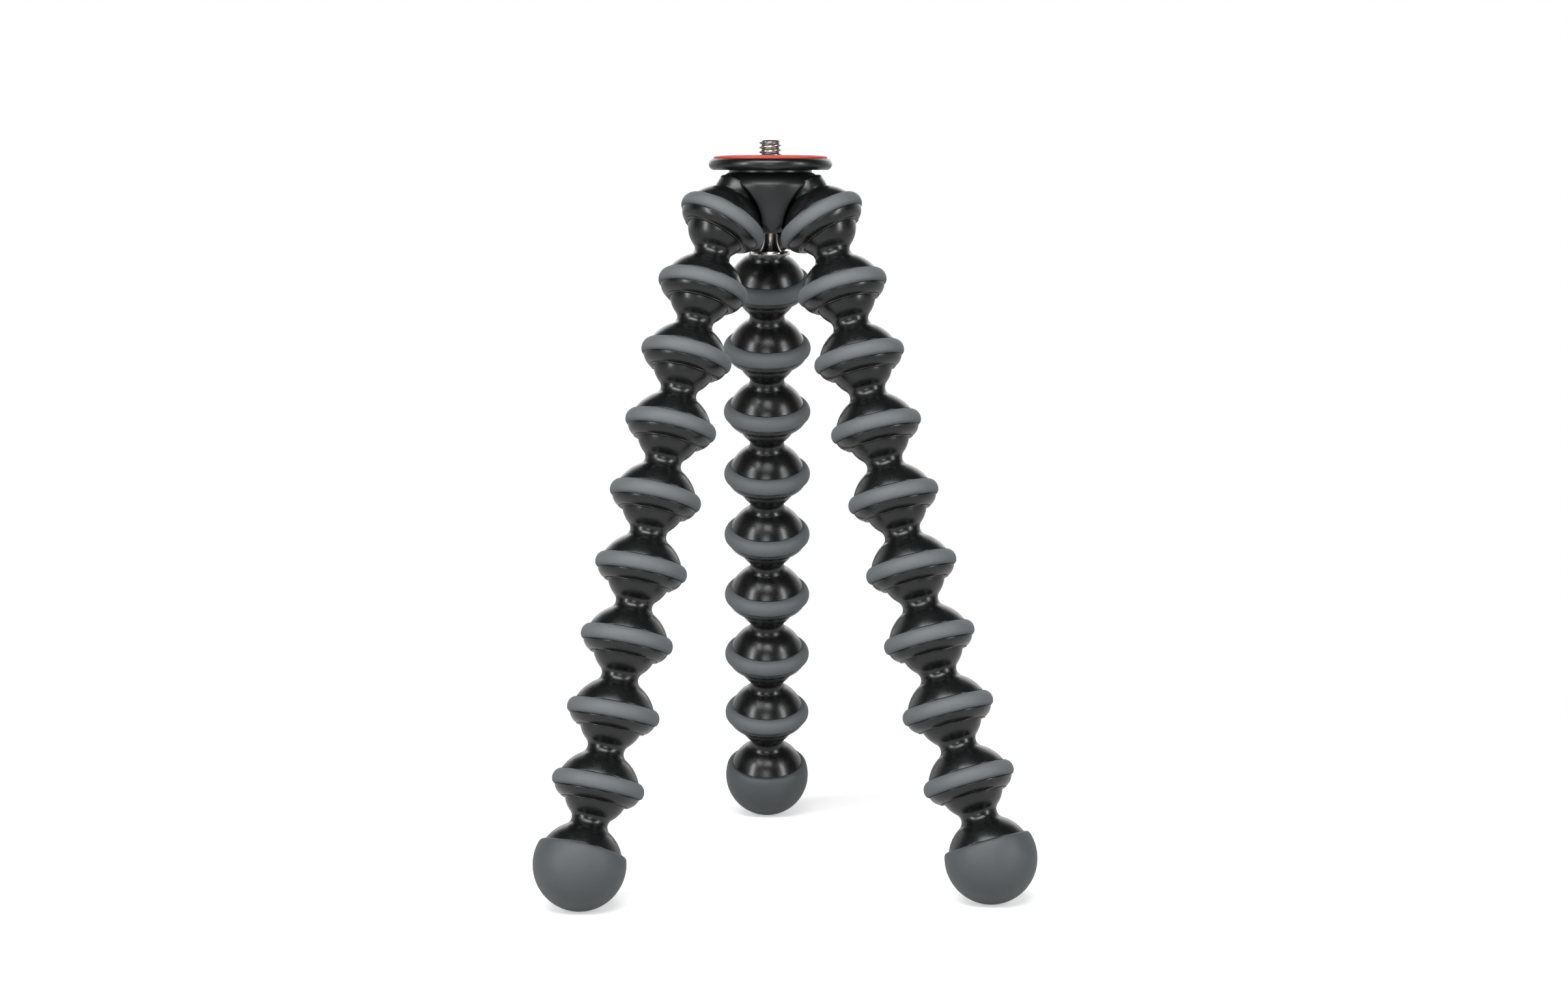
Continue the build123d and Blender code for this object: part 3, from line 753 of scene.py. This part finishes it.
def add_drum(shape, radius, low, high, segments, matrix):
    """Adds an upright cylinder from low to high to a shape."""
    middle = Matrix.Translation((0, 0, (low + high) / 2))
    bmesh.ops.create_cone(
        shape, cap_ends=True, segments=segments, radius1=radius, radius2=radius, depth=high - low,
        matrix=matrix @ middle,
    )


def drum(radius, low, high, matrix):
    """Upright cylinder from low to high, for cutting."""
    shape = bmesh.new()
    add_drum(shape, radius, low, high, segments=96, matrix=matrix)
    return solid_object("drum", shape)


def worked(base, steps, extra=()):
    """Mesh of an object after boolean steps and further modifiers, with the helpers removed."""
    for operation, helper in steps:
        modifier = base.modifiers.new(operation.lower(), "BOOLEAN")
        modifier.operation = operation
        modifier.solver = "EXACT"
        modifier.object = helper
    for kind, settings in extra:
        modifier = base.modifiers.new(kind.lower(), kind)
        for name, value in settings.items():
            setattr(modifier, name, value)
    bpy.context.view_layer.update()
    graph = bpy.context.evaluated_depsgraph_get()
    mesh = bpy.data.meshes.new_from_object(base.evaluated_get(graph))
    for thing in [helper for _, helper in steps] + [base]:
        bpy.data.objects.remove(thing)
    return mesh


def casing_mesh(size, places):
    """Body of the hub with a rounded moat round each arm's root, its ridges rounded by a fine voxel pass."""
    ledge_width, bore_gap, bore_depth = 0.1, 0.1, 50
    cut_floor = -3 * size.cut_radius
    top = -size.pad_thickness - size.disc_thickness - size.disc_neck_height
    ledge = (size.disc_neck + ledge_width, top)
    shoulder = (size.shoulder_radius, top - size.shoulder_drop)
    tip = (size.tip_radius, top - size.body_height)
    slope = through(ledge, (size.shoulder_belly, top - size.shoulder_belly_drop), shoulder, count=16)
    flank_middle = (size.flank_belly, top - size.shoulder_drop - size.flank_belly_drop)
    flank = through(shoulder, flank_middle, tip, count=30)
    outline = [(0, top)] + slope + flank[1:] + [(0, tip[1])]
    steps = []
    whole = solid_object("whole", spun(outline, steps=144))
    for leg in LEGS:
        centres, downs = places[leg]
        matrix = seat(centres[0] / MM, downs[0])
        moat = matrix @ Matrix.Translation((0, 0, size.moat_height))
        steps.append(("DIFFERENCE", ball_cutter(size.moat_radius, moat)))
        steps.append(("DIFFERENCE", drum(size.cut_radius, cut_floor, size.cut_height, matrix)))
    steps.append(("DIFFERENCE", drum(size.shank_radius + bore_gap, -bore_depth, 0, Matrix.Identity(4))))
    rounding = [
        ("REMESH", {"mode": "VOXEL", "voxel_size": size.voxel, "use_smooth_shade": True}),
        ("SMOOTH", {"factor": 0.5, "iterations": 34}),
    ]
    return worked(whole, steps, rounding)


def root_mesh(size):
    """Root that joins an arm's dome to the casing."""
    low, top_gap, cap_round, cap_angle = 9.0, 3.0, 0.5, 1.0
    shape = bmesh.new()
    high = size.root_length - top_gap
    add_drum(shape, size.root_radius, low, high, segments=64, matrix=Matrix.Identity(4))
    caps = [edge for edge in shape.edges if edge.calc_face_angle(0.0) > cap_angle]
    soften(shape, caps, cap_round, segments=3)
    return to_mesh("root", shape)


def thread_mesh(size):
    """Right-hand thread of the camera screw with its chamfered end."""
    shape = bmesh.new()
    across, along = 96, 132
    phase_shift, half_valley, slope_share, chamfer_slope = 0.3, 0.14, 0.72, 1.3
    bmesh.ops.create_grid(shape, x_segments=across, y_segments=along, size=0.5)
    wall_share = 0.92
    root = size.thread_radius - size.thread_depth
    for vertex in shape.verts:
        turn = vertex.co.x + 0.5
        rise = vertex.co.y + 0.5
        height = -size.thread_foot + min(rise / wall_share, 1.0) * (size.thread_height + size.thread_foot)
        phase = (height / size.thread_pitch - turn + phase_shift) % 1.0
        crest = (1 - abs(2 * phase - 1) - half_valley) / slope_share
        radius = root + size.thread_depth * min(max(crest, 0.0), 1.0)
        past_chamfer = max(size.thread_chamfer - (size.thread_height - height), 0.0)
        radius = min(radius, size.thread_radius - past_chamfer * chamfer_slope)
        if rise > wall_share:
            radius *= (1.0 - rise) / (1.0 - wall_share)
        angle = math.tau * turn
        vertex.co = (radius * math.cos(angle), radius * math.sin(angle), height)
    bmesh.ops.remove_doubles(shape, verts=shape.verts, dist=MERGE_GAP)
    return to_mesh("thread", shape, sharp=33.0)


def post_mesh(size, neck_top):
    """Post from inside the casing to just inside the flange."""
    high, sink = -16, 0.6
    low = neck_top - sink
    outline = [(0, high), (size.shank_radius, high), (size.shank_radius, low), (0, low)]
    return to_mesh("post", spun(outline, steps=64))


def flange_mesh(size, rim_bottom):
    """Turning flange with its flare, domed underside and coin slot."""
    neck_step, belly_share, edge_round, dome_step, dome_share, overrun = 0.3, 0.3, 0.28, 0.6, 0.75, 2.0
    rim_top = rim_bottom + size.flange_rim
    neck_top = rim_top + size.flange_flare
    neck = (size.shank_radius + neck_step, neck_top)
    belly = neck[0] + (size.flare_radius - neck[0]) * belly_share
    flare_middle = (belly, rim_top + size.flange_flare * belly_share)
    flare = through(neck, flare_middle, (size.flare_radius, rim_top), count=16)
    top_edge = (size.flange_radius, rim_top)
    low_edge = (size.flange_radius, rim_bottom)
    dome_edge = (size.flange_radius - dome_step, rim_bottom)
    dome_middle = (dome_edge[0] / 2, rim_bottom - size.flange_dome * dome_share)
    dome = through(dome_edge, dome_middle, (0, rim_bottom - size.flange_dome), count=12)
    outline = (
        [(0, neck_top)]
        + flare
        + soft_corner(flare[-1], top_edge, low_edge, edge_round)
        + soft_corner(top_edge, low_edge, dome_edge, edge_round)
        + dome
    )
    base = solid_object("flange_base", spun(outline, steps=96))
    slot = bmesh.new()
    place = Matrix.Translation((0, 0, rim_bottom - size.flange_dome + size.slot_depth / 2 - overrun / 2))
    scale = Matrix.Diagonal((3 * size.flange_radius, size.slot_width, size.slot_depth + overrun, 1))
    bmesh.ops.create_cube(slot, size=1.0, matrix=place @ scale)
    mesh = worked(base, [("DIFFERENCE", solid_object("slot", slot))])
    shape = bmesh.new()
    shape.from_mesh(mesh)
    return to_mesh("flange", shape, sharp=33.0)


class TRIPOD_OT_finishes(bpy.types.Operator):
    """Makes the finishes that the pieces use"""

    bl_idname = "tripod.finishes"
    bl_label = "Make finishes"

    def execute(self, context):
        finish = context.scene.tripod_finish
        size = millimetres()
        low = size.ring_centre - size.ring_height / 2
        high = low + size.ring_height
        moulded_plastic("glossy_black", finish.black, finish.gloss_roughness, grain=0.0003)
        moulded_plastic("liner_black", finish.black, finish.gloss_roughness + 0.12, grain=0.0008)
        moulded_plastic("disc_black", finish.black, finish.gloss_roughness + 0.03, grain=0.0008)
        grained_plastic("satin_black", finish.satin, finish.satin_roughness)
        grip_rubber("ring_rubber", finish.rubber, finish.rubber_roughness, low, high)
        foot_rubber("foot_rubber", finish.rubber, finish.rubber_roughness)
        pad_rubber("pad_rubber", finish.red)
        # Painted shade darkens the thread's valleys and the flange near the post.
        valley = size.thread_radius - size.thread_depth
        turned_metal("thread_steel", finish.steel, 0.24, shade_radius=valley, shade_depth=0.5)
        turned_metal("flange_steel", finish.steel, 0.2, shade_radius=1.8, shade_depth=0.6)
        turned_metal("post_bronze", finish.bronze, 0.5, shade_radius=0.5, shade_depth=0.2)
        return {"FINISHED"}


class TRIPOD_OT_hub(bpy.types.Operator):
    """Builds the casing with its arms, liners, disc and pad"""

    bl_idname = "tripod.hub"
    bl_label = "Build hub"

    def execute(self, context):
        size = millimetres()
        places = joint_places()
        upright = Matrix.Identity(4)
        casing = casing_mesh(size, places)
        put("hub_casing_body", casing, upright, "hub", "black_plastic", "satin_black", "hub_casing")
        put("hub_disc", disc_mesh(size), upright, "hub", "black_plastic", "disc_black")
        put("hub_pad", pad_mesh(size), upright, "hub", "red_rubber", "pad_rubber", "camera_pad")
        for leg in LEGS:
            centres, downs = places[leg]
            place = seat(centres[0], downs[0], turn=40.0)
            put(f"hub_{leg}_arm", arm_mesh(size), place, "hub", "black_plastic", "glossy_black")
            put(f"hub_{leg}_root", root_mesh(size), place, "hub", "black_plastic", "glossy_black")
            put(f"hub_{leg}_liner", liner_mesh(size), place, "hub", "black_plastic", "liner_black")
        return {"FINISHED"}


class TRIPOD_OT_screw(bpy.types.Operator):
    """Builds the camera screw with its post and flange"""

    bl_idname = "tripod.screw"
    bl_label = "Build camera screw"

    def execute(self, context):
        size = millimetres()
        centres, _ = joint_places()[LEGS[0]]
        rim_bottom = centres[0].z / MM - size.flange_drop + size.flange_dome
        neck_top = rim_bottom + size.flange_rim + size.flange_flare
        upright = Matrix.Identity(4)
        put("screw_thread", thread_mesh(size), upright, "screw", "steel", "thread_steel", "camera_screw")
        put("screw_post", post_mesh(size, neck_top), upright, "screw", "steel", "post_bronze")
        put("screw_flange", flange_mesh(size, rim_bottom), upright, "screw", "steel", "flange_steel")
        return {"FINISHED"}


class TRIPOD_OT_legs(bpy.types.Operator):
    """Builds the links, liners and grip rings of the three legs"""

    bl_idname = "tripod.legs"
    bl_label = "Build legs"

    def execute(self, context):
        size = millimetres()
        link = link_mesh(size)
        liner = liner_mesh(size)
        ring = ring_mesh(size)
        places = joint_places()
        shell_turn, liner_share = 60, 9
        for order, leg in enumerate(LEGS):
            centres, downs = places[leg]
            for index in range(LINKS + 1):
                number = index + 1
                turn = GOLDEN_TURN * (index + 3 * order)
                place = seat(centres[index], downs[index], turn)
                name = f"{leg}_grip_ring_{number}"
                put(f"{name}_band", ring.copy(), place, name, "grey_rubber", "ring_rubber", name)
                if index == LINKS:
                    break
                name = f"{leg}_link_{number}"
                place = seat(centres[index], downs[index + 1], turn + shell_turn)
                socket = seat(centres[index + 1], downs[index + 1], turn / liner_share)
                put(f"{name}_shell", link.copy(), place, name, "black_plastic", "glossy_black", name)
                put(f"{name}_liner", liner.copy(), socket, name, "black_plastic", "liner_black")
        return {"FINISHED"}


class TRIPOD_OT_feet(bpy.types.Operator):
    """Builds the last link of each leg with its rubber foot cap"""

    bl_idname = "tripod.feet"
    bl_label = "Build feet"

    def execute(self, context):
        size = millimetres()
        link = foot_link_mesh(size)
        cap = foot_cap_mesh(size)
        places = joint_places()
        first_turn, turn_step, cap_turn_step = 75, 50, 20
        for order, leg in enumerate(LEGS):
            centres, downs = places[leg]
            down = downs[-1]
            body = f"{leg}_foot"
            top = seat(centres[-1], down, turn=first_turn + turn_step * order)
            low = seat(centres[-1] + down * size.link_pitch * MM, down, turn=cap_turn_step * order)
            put(f"{body}_shell", link.copy(), top, body, "black_plastic", "glossy_black", f"{leg}_foot_link")
            put(f"{body}_rubber", cap.copy(), low, body, "grey_rubber", "foot_rubber", f"{leg}_foot_cap")
        return {"FINISHED"}


def area_lamp(name, place, width, height, power):
    """A soft box that faces the tripod."""
    lamp = bpy.data.lights.new(name, "AREA")
    lamp.shape = "RECTANGLE"
    lamp.size = width
    lamp.size_y = height
    lamp.energy = power
    thing = linked(name, lamp)
    thing.location = place
    thing.rotation_euler = (Vector(LAMP_TARGET) - Vector(place)).to_track_quat("-Z", "Y").to_euler()
    return thing


def seen_rays(paint, gloss_share):
    """1 for camera and transmission rays, a share of it for gloss, 0 for the light that falls on things."""
    camera = paint.node("ShaderNodeLightPath", "Is Camera Ray", {})
    gloss = paint.node("ShaderNodeLightPath", "Is Glossy Ray", {})
    through_glass = paint.node("ShaderNodeLightPath", "Is Transmission Ray", {})
    return camera + gloss * gloss_share + through_glass


def floor_paint():
    """White floor that keeps the object's soft shadow, melts into the surround and is clear from below."""
    white, grey, glow_strength, gloss_share = 0.86, 0.42, 0.4, 0.6
    fade_start, fade_end = 0.16, 0.42
    paint = Paint("stage_floor")
    place = paint.node("ShaderNodeTexCoord", "Object", {})
    grain = 0.99 + paint.noise(place, 40.0, 3.0) * 0.02
    far = paint.radius(place).between(fade_start, fade_end)
    body = paint.node("ShaderNodeBsdfDiffuse", 0, {"Color": paint.shade([white] * 3, grain)})
    glow = paint.node("ShaderNodeEmission", 0, {"Color": (1, 1, 1, 1), "Strength": glow_strength})
    lit = paint.node("ShaderNodeAddShader", 0, {0: body, 1: glow})
    blank = paint.node("ShaderNodeEmission", 0, {"Color": (1, 1, 1, 1), "Strength": 1.0})
    faded = paint.node("ShaderNodeMixShader", 0, {0: far, 1: lit, 2: blank})
    plain = paint.node("ShaderNodeBsdfDiffuse", 0, {"Color": paint.shade([grey] * 3, grain)})
    top = paint.node("ShaderNodeMixShader", 0, {0: seen_rays(paint, gloss_share), 1: plain, 2: faded})
    underside = paint.node("ShaderNodeNewGeometry", "Backfacing", {})
    clear = paint.node("ShaderNodeBsdfTransparent", 0, {})
    return paint.finish(paint.node("ShaderNodeMixShader", 0, {0: underside, 1: top, 2: clear}))


def surround():
    """World that is white to the camera, white to gloss low down behind the object, and dim to the rest."""
    paint = Paint("surround", "worlds", "ShaderNodeOutputWorld")
    _, y, z = paint.axes(paint.node("ShaderNodeTexCoord", "Generated", {}))
    camera = paint.node("ShaderNodeLightPath", "Is Camera Ray", {})
    backdrop = y.between(0.2, 0.6) * (1.0 - z.between(0.35, 0.62))
    seen = camera + (seen_rays(paint, 1.0) - camera) * backdrop
    white = paint.node("ShaderNodeBackground", 0, {"Color": (1, 1, 1, 1), "Strength": 1.0})
    felt = paint.node("ShaderNodeBackground", 0, {"Color": (0.97, 0.98, 1, 1), "Strength": 0.08})
    return paint.finish(paint.node("ShaderNodeMixShader", 0, {0: seen, 1: felt, 2: white}))


class TRIPOD_OT_stage(bpy.types.Operator):
    """Sets up the camera, lamps, white floor and surround"""

    bl_idname = "tripod.stage"
    bl_label = "Set the stage"

    def execute(self, context):
        scene = context.scene
        scene.view_settings.view_transform = "Standard"
        camera = linked("camera", bpy.data.cameras.new("camera"))
        camera.data.lens = 76
        camera.data.sensor_width = 36
        camera.data.clip_start = 0.05
        camera.data.clip_end = 20
        camera.location = CAMERA_PLACE
        camera.rotation_euler = (math.radians(CAMERA_PITCH), 0, math.radians(CAMERA_TURN))
        scene.camera = camera
        low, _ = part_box("left_foot_cap")
        shape = bmesh.new()
        bmesh.ops.create_circle(shape, cap_ends=True, segments=96, radius=FLOOR_RADIUS)
        floor = linked("stage_floor", baked("stage_floor", shape))
        floor.data.materials.append(floor_paint())
        floor.location = (0, 0, low.z)
        lamps = [area_lamp(*row) for row in LAMPS]
        scene.world = surround()
        return {"FINISHED"}


class TRIPOD_PT_panel(bpy.types.Panel):
    """Buttons and sizes of the tripod"""

    bl_label = "Flexible leg tripod"
    bl_idname = "TRIPOD_PT_panel"
    bl_space_type = "VIEW_3D"
    bl_region_type = "UI"
    bl_category = "Tripod"

    def draw(self, context):
        layout = self.layout
        for operator in OPERATORS:
            layout.operator(operator.bl_idname)
        for title, store in (("Finishes", "tripod_finish"), ("Sizes", "tripod_sizes")):
            layout.label(text=title)
            group = getattr(context.scene, store)
            for name in type(group).__annotations__:
                layout.prop(group, name)


OPERATORS = (
    TRIPOD_OT_finishes, TRIPOD_OT_hub, TRIPOD_OT_screw, TRIPOD_OT_legs, TRIPOD_OT_feet, TRIPOD_OT_stage,
)
CLASSES = (TripodSizes, TripodFinish, *OPERATORS, TRIPOD_PT_panel)


def register():
    """Adds the add-on's classes and properties."""
    for item in CLASSES:
        bpy.utils.register_class(item)
    bpy.types.Scene.tripod_sizes = bpy.props.PointerProperty(type=TripodSizes)
    bpy.types.Scene.tripod_finish = bpy.props.PointerProperty(type=TripodFinish)


def unregister():
    """Removes the add-on's classes and properties."""
    del bpy.types.Scene.tripod_finish
    del bpy.types.Scene.tripod_sizes
    for item in reversed(CLASSES):
        bpy.utils.unregister_class(item)


def main():
    """Builds every piece and the stage."""
    register()
    bpy.ops.tripod.finishes()
    bpy.ops.tripod.hub()
    bpy.ops.tripod.screw()
    bpy.ops.tripod.legs()
    bpy.ops.tripod.feet()
    bpy.ops.tripod.stage()


if __name__ == "__main__":
    main()
